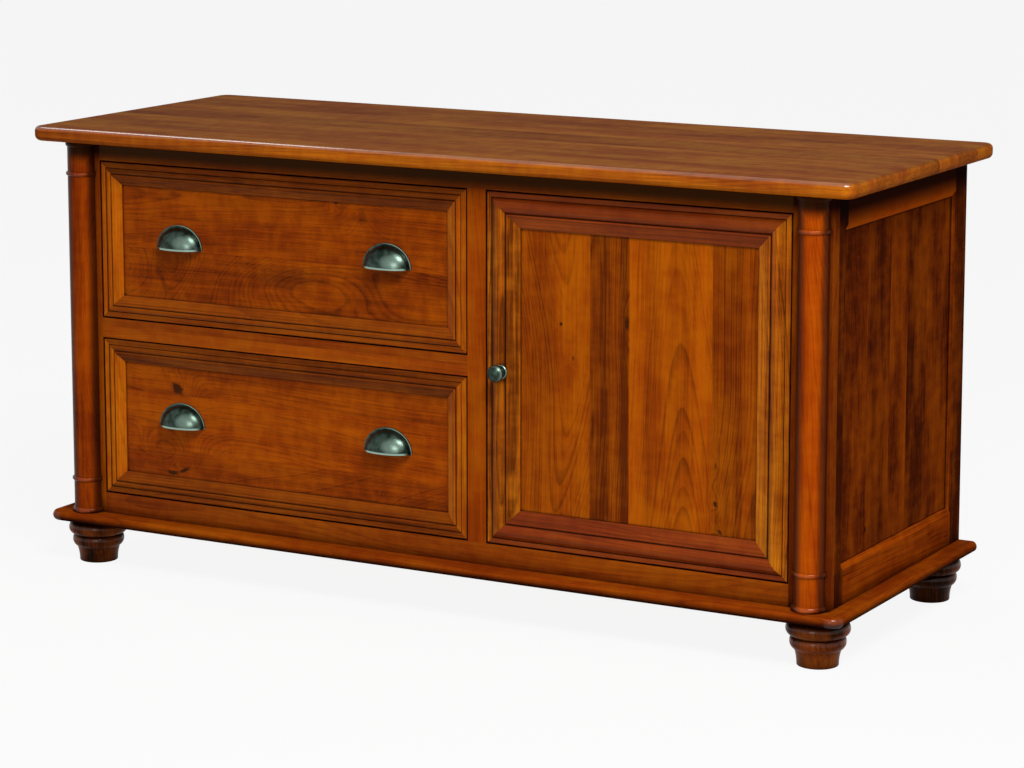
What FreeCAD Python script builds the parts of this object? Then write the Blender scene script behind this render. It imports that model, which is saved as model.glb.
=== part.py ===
import FreeCAD, Part
import math
import os

# Office credenza: two wide filing drawers on the left and one framed door on the right, in a
# face-framed case with half-round corner columns, standing on four turned feet.
# Millimetres. X runs along the front, Y from front to back, Z up. The origin is on the floor,
# under the middle of the top board.

# ---- top board
top_length = 1524.0
top_depth = 590.0
top_height = 764.0
top_thickness = 25.0
top_upper_round = 8.0
top_lower_round = 10.0
top_corner_round = 22.0
top_end_overhang = 47.0
top_front_overhang = 42.0
top_back_overhang = 10.0

# ---- feet and base boards
foot_height = 75.0
foot_inset_x = 29.0
foot_inset_front = 28.0
foot_inset_back = 53.0
foot_floor_radius = 33.0
foot_bead_radius = 44.5
foot_torus_radius = 50.8
bolt_radius = 4.0
bolt_in_foot = 42.0
bolt_clearance = 0.1
base_thickness = 18.0
base_board_width = 100.0
base_end_overhang = 32.0
base_front_overhang = 34.0
base_corner_round = 20.0
base_nose_round = 8.6

# ---- face frame
frame_thickness = 20.0
outer_stile_width = 68.0
centre_stile_width = 34.0
top_rail_height = 31.0
middle_rail_height = 34.0
bottom_rail_height = 36.0
drawer_opening_width = 723.0
upper_opening_height = 272.0

# ---- half-round columns
column_radius = 25.4
column_inset = 32.0
column_bead_proud = 3.2
column_bead_height = 7.5
column_bead_drop = 55.0
column_bead_rise = 59.0
column_ring_height = 8.5

# ---- framed sides
side_thickness = 20.0
side_front_stile = 33.0
side_back_stile = 49.0
side_top_rail = 60.0
side_bottom_rail = 63.0
side_recess = 8.0
side_tongue_thickness = 6.0
side_tongue_depth = 8.0
sticking_width = 9.0
sticking_depth = 6.0

# ---- boards inside the case
board_thickness = 18.0
back_thickness = 6.0
back_rabbet = 10.0
stretcher_width = 60.0
bearer_width = 60.0
hinge_post_depth = 48.0
packer_height = 60.0
shelf_height = 409.0
shelf_end_clearance = 1.0
shelf_front_clearance = 4.0
shelf_back_clearance = 10.0
pin_radius = 2.5
pin_in_wall = 9.0
pin_out = 10.0
pin_inset = 40.0
pin_clearance = 0.1

# ---- drawer fronts and door: mitred, moulded frames round flat panels
front_thickness = 22.0
front_gap = 2.5
front_arris = 1.5
panel_thickness = 8.0
panel_recess = 9.5
panel_tongue = 8.0
panel_float = 1.0
panel_lip = 2.8
quirk_width = 1.4
quirk_depth = 1.9
sight_drop = 0.6
bead_width = 4.6
bead_rise = 1.3
reed_count = 3
reed_swell = 0.55
drawer_frame_width = 38.0
drawer_band = 9.0
drawer_swell = 8.6
drawer_swell_rise = 0.8
door_frame_width = 57.0
door_band = 8.0
door_swell = 23.5
door_swell_rise = 6.0

# ---- drawer boxes
box_wall = 12.0
box_height = 230.0
box_depth = 480.0
box_lift = 15.0
box_bottom_thickness = 6.0
box_bottom_lift = 12.0
box_groove = 6.0
file_rail_thickness = 3.0
file_rail_height = 14.0
file_rail_spacing = 320.0
file_rail_set_back = 60.0

# ---- three-part drawer slides
slide_space = 13.0
slide_set_back = 2.0
slide_lift = 100.0
slide_metal = 1.5
slide_outer_half = 23.0
slide_middle_half = 18.0
slide_inner_half = 13.0
slide_web_gap = 1.0
slide_lip_gap = 0.5
slide_running_gap = 0.3
ball_strip_width = 4.5
ball_strip_length = 200.0
ball_strip_set_in = 20.0

# ---- cup pulls
pull_half_width = 46.0
pull_height = 41.0
pull_projection = 25.0
pull_wall = 2.0
pull_flange = 1.8
pull_flange_rim = 3.2
pull_lip_height = 3.4
pull_lip_proud = 1.4
pull_drop = 7.0
pull_spacing = 410.0
pull_boss_spacing = 64.0
pull_boss_radius = 3.4
pull_boss_height = 11.0

# ---- knob
knob_rise = -2.5
knob_post_radius = 4.0
knob_post_length = 18.0
knob_length = 29.0
knob_head_radius = 14.2
knob_rose_radius = 12.0

# ---- concealed hinges and magnetic catch
hinge_inset = 105.0
cup_radius = 17.5
cup_centre = 22.5
cup_depth = 11.5
cup_wall = 1.2
cup_flange = 1.2
cup_bore_clearance = 0.2
cup_ear_radius = 6.0
cup_ear_spacing = 45.0
arm_height = 14.0
arm_thickness = 5.5
arm_plate_thickness = 2.0
arm_plate_height = 50.0
arm_plate_length = 30.0
catch_gap = 0.3
catch_reach = 44.0
catch_height = 16.0
catch_depth = 22.0
catch_drop = 40.0
strike_radius = 9.0

# ---- places that follow from the sizes
case_half = top_length / 2 - top_end_overhang
front_y = top_front_overhang - top_depth / 2
back_y = top_depth / 2 - top_back_overhang
inner_y = front_y + frame_thickness
inner_x = case_half - side_thickness
back_panel_y = back_y - back_thickness
case_floor = foot_height + base_thickness
case_top = top_height - top_thickness
opening_left = outer_stile_width - case_half
opening_right = case_half - outer_stile_width
drawer_right = opening_left + drawer_opening_width
door_left = drawer_right + centre_stile_width
opening_top = case_top - top_rail_height
opening_bottom = case_floor + bottom_rail_height
upper_bottom = opening_top - upper_opening_height
lower_top = upper_bottom - middle_rail_height
bottom_board_z = opening_bottom - board_thickness
stretcher_z = case_top - board_thickness
front_back_y = front_y + front_thickness
foot_x = case_half - foot_inset_x
foot_front_y = front_y + foot_inset_front
foot_back_y = back_y - foot_inset_back

os.makedirs("parts", exist_ok=True)


def save(name, *solids):
    """Write one node, of one solid or of several like ones."""
    shape = solids[0] if len(solids) == 1 else Part.makeCompound(list(solids))
    shape.exportStep("parts/" + name + ".step")


def block(low, high):
    """A square-edged board between two corners."""
    size = [b - a for a, b in zip(low, high)]
    return Part.makeBox(*size, FreeCAD.Vector(*low))


def rod(radius, length, base, direction):
    return Part.makeCylinder(radius, length, FreeCAD.Vector(*base), FreeCAD.Vector(*direction))


def moved(shape, x, y, z):
    copy = shape.copy()
    copy.translate(FreeCAD.Vector(x, y, z))
    return copy


def mirrored(shape, x=0.0):
    """The other hand of a piece, across the upright plane at x."""
    return shape.mirror(FreeCAD.Vector(x, 0, 0), FreeCAD.Vector(1, 0, 0))


def outline(start, *steps):
    """A closed flat face in the XY plane. A step is a corner, or a pair: a point on an arc and its end."""
    here = FreeCAD.Vector(start[0], start[1], 0)
    first = here
    edges = []
    for step in steps:
        if isinstance(step[0], tuple):
            middle = FreeCAD.Vector(step[0][0], step[0][1], 0)
            end = FreeCAD.Vector(step[1][0], step[1][1], 0)
            edges.append(Part.Arc(here, middle, end).toShape())
        else:
            end = FreeCAD.Vector(step[0], step[1], 0)
            edges.append(Part.LineSegment(here, end).toShape())
        here = end
    edges.append(Part.LineSegment(here, first).toShape())
    return Part.Face(Part.Wire(edges))


def prism(face, height, z=0.0):
    """A flat outline in plan, raised from z by a height."""
    return moved(face.extrude(FreeCAD.Vector(0, 0, height)), 0, 0, z)


def upright_prism(points, low_y, high_y):
    """An outline of corners given as (x, z), carried from one y to another."""
    corners = [FreeCAD.Vector(x, low_y, z) for x, z in points]
    face = Part.Face(Part.makePolygon(corners + corners[:1]))
    return face.extrude(FreeCAD.Vector(0, high_y - low_y, 0))


def turned(face, angle=360.0):
    """A turning about Z, from a half outline of points (radius, height)."""
    profile = face.copy()
    profile.rotate(FreeCAD.Vector(), FreeCAD.Vector(1, 0, 0), 90)
    return profile.revolve(FreeCAD.Vector(), FreeCAD.Vector(0, 0, 1), angle)


# ---- top board: one glued-up slab, eased all round
def top_board():
    half = top_length / 2
    slab = block((-half, -top_depth / 2, case_top), (half, top_depth / 2, top_height))
    posts = [e for e in slab.Edges if e.BoundBox.ZLength > top_thickness / 2]
    slab = slab.makeFillet(top_corner_round, posts)
    upper = [e for e in slab.Edges if e.BoundBox.ZMin > top_height - 0.1]
    slab = slab.makeFillet(top_upper_round, upper)
    lower = [e for e in slab.Edges if e.BoundBox.ZMax < case_top + 0.1]
    return slab.makeFillet(top_lower_round, lower)


save("top_board", top_board())
save("top_stretchers", *[
    block((-inner_x, y, stretcher_z), (inner_x, y + stretcher_width, case_top))
    for y in (inner_y, back_panel_y - stretcher_width)])


# ---- base: three bullnosed boards, mitred at the front corners
def base_ring():
    outer_x = case_half + base_end_overhang
    outer_y = front_y - base_front_overhang
    slab = block((-outer_x, outer_y, foot_height), (outer_x, back_y, case_floor))
    posts = [e for e in slab.Edges if e.BoundBox.ZLength > base_thickness / 2
             and e.BoundBox.YMax < outer_y + 0.1]
    slab = slab.makeFillet(base_corner_round, posts)
    rims = [e for e in slab.Edges if e.BoundBox.ZLength < 0.1 and e.BoundBox.YMin < back_y - 0.1]
    slab = slab.makeFillet(base_nose_round, rims)
    inside_x = outer_x - base_board_width
    inside_y = outer_y + base_board_width
    slab = slab.cut(block((-inside_x, inside_y, 0), (inside_x, back_y + 1, case_floor + 1)))
    for x in (-foot_x, foot_x):
        for y in (foot_front_y, foot_back_y):
            bore = rod(bolt_radius + bolt_clearance, base_thickness, (x, y, foot_height), (0, 0, 1))
            slab = slab.cut(bore)
    mitre = outline((-outer_x, outer_y), (outer_x, outer_y), (inside_x, inside_y), (-inside_x, inside_y))
    front = slab.common(prism(mitre, base_thickness, foot_height))
    sides = slab.cut(prism(mitre, base_thickness, foot_height))
    return front, sides.Solids


base_front, base_sides = base_ring()
save("base_front", base_front)
save("base_sides", *base_sides)


# ---- turned feet on hanger bolts
def foot():
    bead_low = 27.0
    bead_mid = 38.0
    neck = 47.5
    torus_mid = 59.5
    torus_top = 71.5
    throat_radius = 37.2
    neck_radius = 40.6
    cap_radius = 43.0
    profile = outline(
        (0, 0),
        (foot_floor_radius - 1.5, 0),
        ((foot_floor_radius - 0.4, 0.5), (foot_floor_radius, 1.6)),
        ((foot_floor_radius + 1.2, 15.0), (throat_radius, bead_low - 1.0)),
        (throat_radius + 1.8, bead_low),
        ((foot_bead_radius - 1.2, bead_low + 5.5), (foot_bead_radius, bead_mid)),
        ((foot_bead_radius - 1.0, neck - 3.6), (neck_radius, neck)),
        ((foot_torus_radius - 2.2, neck + 4.6), (foot_torus_radius, torus_mid)),
        ((foot_torus_radius - 2.2, torus_top - 4.6), (cap_radius, torus_top)),
        (cap_radius, foot_height),
        (0, foot_height))
    bore = rod(bolt_radius + bolt_clearance, bolt_in_foot, (0, 0, foot_height - bolt_in_foot), (0, 0, 1))
    return turned(profile).cut(bore)


foot_shape = foot()
foot_places = {
    "front_left": (-foot_x, foot_front_y), "front_right": (foot_x, foot_front_y),
    "back_left": (-foot_x, foot_back_y), "back_right": (foot_x, foot_back_y)}
for corner, (x, y) in foot_places.items():
    save("foot_" + corner, moved(foot_shape, x, y, 0))
bolt_top = bottom_board_z - 1.0
bolt_bottom = foot_height - bolt_in_foot
save("foot_bolts", *[
    rod(bolt_radius, bolt_top - bolt_bottom, (x, y, bolt_bottom), (0, 0, 1))
    for x, y in foot_places.values()])


# ---- boards inside the case
def bearers():
    """Three bearers under the bottom board. The foot bolts screw up into the outer two."""
    solids = []
    for x in (bearer_width / 2 - inner_x, 0, inner_x - bearer_width / 2):
        solid = block((x - bearer_width / 2, inner_y, case_floor),
                      (x + bearer_width / 2, back_panel_y, bottom_board_z))
        for bolt_x, bolt_y in foot_places.values():
            if abs(bolt_x - x) < bearer_width / 2:
                hole = rod(bolt_radius + bolt_clearance, bearer_width, (bolt_x, bolt_y, case_floor), (0, 0, 1))
                solid = solid.cut(hole)
        solids.append(solid)
    return solids


partition_x = drawer_right
partition_right = partition_x + board_thickness
shelf_low_y = inner_y + hinge_post_depth + shelf_front_clearance
shelf_high_y = back_panel_y - shelf_back_clearance
pin_z = shelf_height - pin_radius
pin_ys = (shelf_low_y + pin_inset, shelf_high_y - pin_inset)


def pin_hole(x, y):
    """A blind hole for a shelf pin, into the wall whose face is at x."""
    outwards = 1 if x > (partition_right + inner_x) / 2 else -1
    return rod(pin_radius + pin_clearance, pin_in_wall, (x, y, pin_z), (outwards, 0, 0))


def shelf_pin(x, y):
    outwards = 1 if x > (partition_right + inner_x) / 2 else -1
    start = x - outwards * pin_out
    return rod(pin_radius, pin_out + pin_in_wall - 0.5, (start, y, pin_z), (outwards, 0, 0))


partition = block((partition_x, inner_y, opening_bottom), (partition_right, back_panel_y, stretcher_z))
for y in pin_ys:
    partition = partition.cut(pin_hole(partition_right, y))
save("bottom_bearers", *bearers())
save("case_bottom", block((-inner_x, inner_y, bottom_board_z), (inner_x, back_panel_y, opening_bottom)))
save("centre_partition", partition)
save("back_panel", block((-inner_x - back_rabbet, back_panel_y, case_floor),
                         (inner_x + back_rabbet, back_y, case_top)))
save("shelf", block((partition_right + shelf_end_clearance, shelf_low_y, shelf_height),
                    (inner_x - shelf_end_clearance, shelf_high_y, shelf_height + board_thickness)))
save("shelf_pins", *[shelf_pin(x, y) for x in (partition_right, inner_x) for y in pin_ys])


# ---- framed sides: grooved stiles and rails round a flat panel, with a bevelled inner edge
side_sill = case_floor + side_bottom_rail
side_head = case_top - side_top_rail
side_near = inner_y + side_front_stile
side_far = back_y - side_back_stile
tongue_high_x = case_half - side_recess
tongue_low_x = tongue_high_x - side_tongue_thickness


def side_opening(x, spread):
    """The edge of the right side's opening at one x, spread outwards by an amount."""
    corners = [(side_near - spread, side_sill - spread), (side_far + spread, side_sill - spread),
               (side_far + spread, side_head + spread), (side_near - spread, side_head + spread)]
    points = [FreeCAD.Vector(x, y, z) for y, z in corners]
    return Part.makePolygon(points + points[:1])


def right_side():
    groove = block((tongue_low_x, side_near - side_tongue_depth, side_sill - side_tongue_depth),
                   (tongue_high_x, side_far + side_tongue_depth, side_head + side_tongue_depth))
    bevel = Part.makeLoft([side_opening(case_half - sticking_depth, 0),
                           side_opening(case_half, sticking_width)], True, True)
    rabbet = block((inner_x, back_panel_y, case_floor), (inner_x + back_rabbet, back_y, case_top))
    front_stile = block((inner_x, inner_y, case_floor), (case_half, side_near, case_top))
    back_stile = block((inner_x, side_far, case_floor), (case_half, back_y, case_top)).cut(rabbet)
    bottom_rail = block((inner_x, side_near, case_floor), (case_half, side_far, side_sill))
    top_rail = block((inner_x, side_near, side_head), (case_half, side_far, case_top))
    stiles = [solid.cut(groove).cut(bevel) for solid in (front_stile, back_stile)]
    rails = [solid.cut(groove).cut(bevel) for solid in (bottom_rail, top_rail)]
    return stiles, rails


def right_side_panel():
    edge = side_tongue_depth - panel_float
    tongue = block((tongue_low_x, side_near - edge, side_sill - edge),
                   (tongue_high_x, side_far + edge, side_head + edge))
    field = block((inner_x, side_near, side_sill), (tongue_high_x, side_far, side_head))
    return field.fuse(tongue).removeSplitter()


side_stiles, side_rails = right_side()
side_panel = right_side_panel()
save("side_left_stiles", *[mirrored(solid) for solid in side_stiles])
save("side_left_rails", *[mirrored(solid) for solid in side_rails])
save("side_left_panel", mirrored(side_panel))
for y in pin_ys:
    side_panel = side_panel.cut(pin_hole(inner_x, y))
save("side_right_stiles", *side_stiles)
save("side_right_rails", *side_rails)
save("side_right_panel", side_panel)

# ---- face frame
save("face_stile_left", block((-case_half, front_y, case_floor), (opening_left, inner_y, case_top)))
save("face_stile_right", block((opening_right, front_y, case_floor), (case_half, inner_y, case_top)))
save("face_stile_centre", block((drawer_right, front_y, opening_bottom), (door_left, inner_y, opening_top)))
save("face_rail_top", block((opening_left, front_y, opening_top), (opening_right, inner_y, case_top)))
save("face_rail_middle", block((opening_left, front_y, lower_top), (drawer_right, inner_y, upper_bottom)))
save("face_rail_bottom", block((opening_left, front_y, case_floor), (opening_right, inner_y, opening_bottom)))


# ---- half-round columns: turned in pairs, sawn apart and planted on the outer stiles
def column():
    swell = column_radius + column_bead_proud
    steps = [(swell - 1.5, case_floor),
             ((swell, case_floor + column_ring_height / 2), (column_radius + 1, case_floor + column_ring_height)),
             (column_radius, case_floor + column_ring_height + 0.5)]
    for middle in (case_floor + column_bead_rise, case_top - column_bead_drop):
        low = middle - column_bead_height / 2
        high = middle + column_bead_height / 2
        steps += [(column_radius, low), ((swell, middle), (column_radius, high))]
    steps += [(column_radius, case_top - column_ring_height - 0.5),
              (column_radius + 1, case_top - column_ring_height),
              ((swell, case_top - column_ring_height / 2), (swell - 1.5, case_top)),
              (0, case_top)]
    half = turned(outline((0, case_floor), *steps), -180.0)
    return moved(half, case_half - column_inset, front_y, 0)


save("column_right", column())
save("column_left", mirrored(column()))


# ---- moulded members for the drawer fronts and the door
def member_section(width, band, swell, swell_rise):
    """Section of a member: across it from the outer edge, with depth behind the face as +Y."""
    bevel = front_arris * (1 - math.sqrt(0.5))
    steps = [(0, front_arris), ((bevel, bevel), (front_arris, 0)), (band, 0)]
    across = band
    for part_width, rise in ((quirk_width, -quirk_depth), (swell, swell_rise),
                             (quirk_width, -quirk_depth), (bead_width, bead_rise)):
        steps.append(((across + part_width / 2, -rise), (across + part_width, sight_drop)))
        across += part_width
    run = (width - across) / reed_count
    fall = (panel_recess - panel_lip - sight_drop) / reed_count
    slope = math.hypot(run, fall)
    depth = sight_drop
    for reed in range(reed_count):
        middle = (across + run / 2 + reed_swell * fall / slope, depth + fall / 2 - reed_swell * run / slope)
        across += run
        depth += fall
        steps.append((middle, (across, depth)))
    groove_back = panel_recess + panel_thickness
    steps += [(width, panel_recess), (width - panel_tongue, panel_recess),
              (width - panel_tongue, groove_back), (width, groove_back), (width, front_thickness)]
    return outline((0, front_thickness), *steps)


def mitred(section, width, length):
    """One member stood on end at the origin, its outer edge on the Z axis, both ends mitred inwards."""
    stick = section.extrude(FreeCAD.Vector(0, 0, length))
    reach = 2 * front_thickness
    trim = upright_prism([(-1, -1), (width + 1, width + 1), (width + 1, length - width - 1), (-1, length + 1)],
                         -reach, reach)
    return stick.common(trim)


def moulded_frame(low_x, high_x, low_z, high_z, width, section):
    """The left and right stiles and the top and bottom rails of a front."""
    left = moved(mitred(section, width, high_z - low_z), low_x, front_y, low_z)
    right = mirrored(left, (low_x + high_x) / 2)
    rail = mitred(section, width, high_x - low_x)
    rail.rotate(FreeCAD.Vector(), FreeCAD.Vector(0, 1, 0), 90)
    top = moved(rail, low_x, front_y, high_z)
    bottom = top.mirror(FreeCAD.Vector(0, 0, (low_z + high_z) / 2), FreeCAD.Vector(0, 0, 1))
    return left, right, top, bottom


def front_panel(low_x, high_x, low_z, high_z, width):
    """The flat panel, loose in the grooves of its frame."""
    edge = width - panel_tongue + panel_float
    return block((low_x + edge, front_y + panel_recess, low_z + edge),
                 (high_x - edge, front_y + panel_recess + panel_thickness, high_z - edge))


drawer_section = member_section(drawer_frame_width, drawer_band, drawer_swell, drawer_swell_rise)
door_section = member_section(door_frame_width, door_band, door_swell, door_swell_rise)


# ---- cup pull: a cast half dome with a rim, a rolled lip and two screw bosses
def ellipsoid(half_width, projection, height):
    ball = Part.makeSphere(1.0)
    ball.rotate(FreeCAD.Vector(), FreeCAD.Vector(0, 0, 1), 90)
    ball.rotate(FreeCAD.Vector(), FreeCAD.Vector(1, 0, 0), -45)
    stretch = FreeCAD.Matrix()
    stretch.scale(half_width, projection, height)
    return ball.transformGeometry(stretch)


def cup_pull():
    """A pull with its back on the plane y = 0 and its lip at z = 0."""
    dome_half = pull_half_width - pull_flange_rim
    dome_height = pull_height - pull_flange_rim
    far = pull_half_width + pull_height
    quarter = block((-far, -far, 0), (far, 0, far))
    outer = ellipsoid(dome_half, pull_projection - pull_lip_proud, dome_height)
    hollow = ellipsoid(dome_half - pull_wall, pull_projection - pull_lip_proud - pull_wall,
                       dome_height - pull_wall)
    lip = ellipsoid(dome_half + pull_lip_proud, pull_projection, dome_height + pull_lip_proud)
    lip = lip.common(block((-far, -far, 0), (far, 0, pull_lip_height)))
    rim = Part.Face(Part.Wire(Part.Ellipse(FreeCAD.Vector(), pull_half_width, pull_height).toShape()))
    rim.rotate(FreeCAD.Vector(), FreeCAD.Vector(1, 0, 0), 90)
    rim = rim.extrude(FreeCAD.Vector(0, -pull_flange, 0)).common(quarter)
    shell = outer.common(quarter).fuse([lip, rim]).cut(hollow)
    for x in (-pull_boss_spacing / 2, pull_boss_spacing / 2):
        boss = rod(pull_boss_radius, pull_projection, (x, 0, pull_boss_height), (0, -1, 0))
        shell = shell.fuse(boss.common(outer))
    return shell.removeSplitter()


# ---- three-part slides, as long as the boxes: a case channel, a middle channel on ball strips, and a
# drawer channel
slide_low_y = front_back_y + slide_set_back
slide_high_y = slide_low_y + box_depth


def channel(back, tip, half, middle_z):
    """A rolled channel along Y. Its web is at x = back, and its flanges reach to x = tip."""
    web = back + math.copysign(slide_metal, tip - back)
    points = [(back, -half), (tip, -half), (tip, slide_metal - half), (web, slide_metal - half),
              (web, half - slide_metal), (tip, half - slide_metal), (tip, half), (back, half)]
    return upright_prism([(opening_left + x, middle_z + z) for x, z in points], slide_low_y, slide_high_y)


def slide_parts(middle_z):
    """The case, middle and drawer members of the left slide at one height."""
    middle_back = slide_metal + slide_web_gap
    inner_tip = middle_back + slide_metal + slide_web_gap
    middle_tip = slide_space - slide_metal - slide_lip_gap
    outer_tip = middle_tip - slide_web_gap
    outer = channel(0, outer_tip, slide_outer_half, middle_z)
    inner = channel(slide_space, inner_tip, slide_inner_half, middle_z)
    middle = [channel(middle_back, middle_tip, slide_middle_half, middle_z)]
    strip_x = opening_left + inner_tip + slide_lip_gap
    back_start = slide_high_y - ball_strip_set_in - ball_strip_length
    front_start = slide_low_y + ball_strip_set_in
    case_strip = (slide_middle_half, slide_outer_half - slide_metal - slide_running_gap, back_start)
    drawer_strip = (slide_inner_half + slide_running_gap, slide_middle_half - slide_metal, front_start)
    for low, high, start_y in (case_strip, drawer_strip):
        for low_z, high_z in ((middle_z + low, middle_z + high), (middle_z - high, middle_z - low)):
            middle.append(block((strip_x, start_y, low_z),
                                (strip_x + ball_strip_width, start_y + ball_strip_length, high_z)))
    return outer, middle, inner


# ---- two filing drawers
drawer_centre_x = (opening_left + drawer_right) / 2
box_low_x = opening_left + slide_space
box_high_x = drawer_right - slide_space
box_back_y = front_back_y + box_depth


def both_hands(*solids):
    """A drawer's left-hand pieces and their right-hand copies."""
    return list(solids) + [mirrored(solid, drawer_centre_x) for solid in solids]


def box_parts(floor_z):
    """Four walls, grooved for the bottom and notched for the file rails, the bottom, and the rails."""
    top_z = floor_z + box_height
    bottom_z = floor_z + box_bottom_lift
    bottom = block((box_low_x + box_groove, front_back_y + box_groove, bottom_z),
                   (box_high_x - box_groove, box_back_y - box_groove, bottom_z + box_bottom_thickness))
    rails = []
    for step in (0, file_rail_spacing):
        rail_y = front_back_y + file_rail_set_back + step
        rails.append(block((box_low_x, rail_y, top_z - file_rail_height),
                           (box_high_x, rail_y + file_rail_thickness, top_z)))
    left = block((box_low_x, front_back_y, floor_z), (box_low_x + box_wall, box_back_y, top_z))
    left = left.cut(bottom).cut(rails[0]).cut(rails[1])
    ends = [block((box_low_x + box_wall, y, floor_z), (box_high_x - box_wall, y + box_wall, top_z)).cut(bottom)
            for y in (front_back_y, box_back_y - box_wall)]
    return both_hands(left) + ends, bottom, rails


def drawer(name, opening_low, opening_high):
    front = (opening_left + front_gap, drawer_right - front_gap, opening_low + front_gap,
             opening_high - front_gap)
    left, right, top, bottom = moulded_frame(*front, drawer_frame_width, drawer_section)
    save(name + "_drawer_front_stiles", left, right)
    save(name + "_drawer_front_rails", top, bottom)
    save(name + "_drawer_front_panel", front_panel(*front, drawer_frame_width))
    walls, base, rails = box_parts(opening_low + box_lift)
    save(name + "_drawer_box_walls", *walls)
    save(name + "_drawer_box_bottom", base)
    save(name + "_drawer_file_rails", *rails)
    lip_z = (front[2] + front[3]) / 2 - pull_drop
    left_pull = moved(cup_pull(), drawer_centre_x - pull_spacing / 2, front_y + panel_recess, lip_z)
    save(name + "_drawer_pulls", *both_hands(left_pull))
    outer, middle, inner = slide_parts(opening_low + box_lift + slide_lift)
    save(name + "_slide_middles", *both_hands(*middle))
    save(name + "_slide_inners", *both_hands(inner))
    packer = block((-inner_x, inner_y, opening_low + box_lift + slide_lift - packer_height / 2),
                   (opening_left, back_panel_y, opening_low + box_lift + slide_lift + packer_height / 2))
    return both_hands(outer), packer


upper_outers, upper_packer = drawer("upper", upper_bottom, opening_top)
lower_outers, lower_packer = drawer("lower", opening_bottom, lower_top)
save("slide_outers", *upper_outers, *lower_outers)
hinge_post = block((opening_right, inner_y, opening_bottom),
                   (inner_x, inner_y + hinge_post_depth, stretcher_z))
save("side_packers", upper_packer, lower_packer, hinge_post)

# ---- door
door = (door_left + front_gap, opening_right - front_gap, opening_bottom + front_gap,
        opening_top - front_gap)
door_low_x, door_high_x, door_low_z, door_high_z = door
cup_x = door_high_x - cup_centre
hinge_zs = (door_low_z + hinge_inset, door_high_z - hinge_inset)
knob_place = (door_low_x + door_frame_width / 2, front_y - door_swell_rise,
              (door_low_z + door_high_z) / 2 + knob_rise)


def hinge_cup(z):
    """A pressed cup let into the back of the door, with a flange and two screw ears."""
    back = front_back_y
    solid = rod(cup_radius, cup_depth, (cup_x, back, z), (0, -1, 0))
    solid = solid.fuse(rod(cup_radius + cup_wall, cup_flange, (cup_x, back, z), (0, 1, 0)))
    for ear_z in (z - cup_ear_spacing / 2, z + cup_ear_spacing / 2):
        solid = solid.fuse(rod(cup_ear_radius, cup_flange, (cup_x, back, ear_z), (0, 1, 0)))
    solid = solid.fuse(block((cup_x - cup_ear_radius, back, z - cup_ear_spacing / 2),
                             (cup_x + cup_ear_radius, back + cup_flange, z + cup_ear_spacing / 2)))
    bowl = rod(cup_radius - cup_wall, cup_depth + cup_flange, (cup_x, back - cup_depth + cup_wall, z),
               (0, 1, 0))
    return solid.cut(bowl).removeSplitter()


def hinge_arm(z):
    """A cranked arm from its plate on the hinge post to the mouth of the cup, and the plate."""
    plate_x = opening_right - arm_plate_thickness
    tip_y = front_back_y + cup_flange + slide_running_gap
    plate_y = front_back_y + 2 * arm_thickness
    end_y = plate_y + arm_plate_length - arm_thickness
    crank = 4.0
    soft = crank * (1 - math.sqrt(0.5))
    arm = outline((plate_x, end_y), (plate_x, tip_y + crank),
                  ((plate_x - soft, tip_y + soft), (plate_x - crank, tip_y)),
                  (cup_x - cup_radius / 2, tip_y), (cup_x - cup_radius / 2, tip_y + arm_thickness),
                  (plate_x - arm_thickness, tip_y + arm_thickness), (plate_x - arm_thickness, end_y))
    plate = block((plate_x, plate_y, z - arm_plate_height / 2),
                  (opening_right, plate_y + arm_plate_length, z + arm_plate_height / 2))
    return prism(arm, arm_height, z - arm_height / 2), plate


def domed(edge_radius, edge_height, height):
    """The steps of a cap that closes a turning with part of a ball centred on its axis."""
    centre = (height ** 2 - edge_radius ** 2 - edge_height ** 2) / (2 * (height - edge_height))
    ball = height - centre
    half_turn = math.atan2(edge_radius, edge_height - centre) / 2
    return (ball * math.sin(half_turn), centre + ball * math.cos(half_turn)), (0, height)


def knob():
    """A turned pewter knob on a rosette, with its post let into the stile."""
    shoulder = (knob_head_radius - 0.8, 21.2)
    profile = outline(
        (0, -knob_post_length), (knob_post_radius, -knob_post_length), (knob_post_radius, 0),
        (knob_rose_radius, 0), (knob_rose_radius, 1.2),
        ((knob_rose_radius - 1.2, 2.8), (knob_rose_radius - 4.0, 3.4)),
        ((5.6, 5.6), (5.2, 9.6)),
        (9.2, 10.8), ((10.8, 12.4), (9.6, 14.2)),
        (12.0, 15.2), ((knob_head_radius, 18.0), shoulder),
        domed(*shoulder, knob_length))
    shape = turned(profile)
    shape.rotate(FreeCAD.Vector(), FreeCAD.Vector(1, 0, 0), 90)
    return moved(shape, *knob_place)


stile_left, stile_right, rail_top, rail_bottom = moulded_frame(*door, door_frame_width, door_section)
knob_bore = rod(knob_post_radius + cup_bore_clearance, knob_post_length, knob_place, (0, 1, 0))
for z in hinge_zs:
    cup_bore = rod(cup_radius + cup_bore_clearance, cup_depth + cup_bore_clearance,
                   (cup_x, front_back_y, z), (0, -1, 0))
    stile_right = stile_right.cut(cup_bore)
save("door_stile_left", stile_left.cut(knob_bore))
save("door_stile_right", stile_right)
save("door_rail_top", rail_top)
save("door_rail_bottom", rail_bottom)
save("door_panel", front_panel(*door, door_frame_width))
save("door_knob", knob())
save("hinge_cups", *[hinge_cup(z) for z in hinge_zs])
save("hinge_arms", *[solid for z in hinge_zs for solid in hinge_arm(z)])

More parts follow.
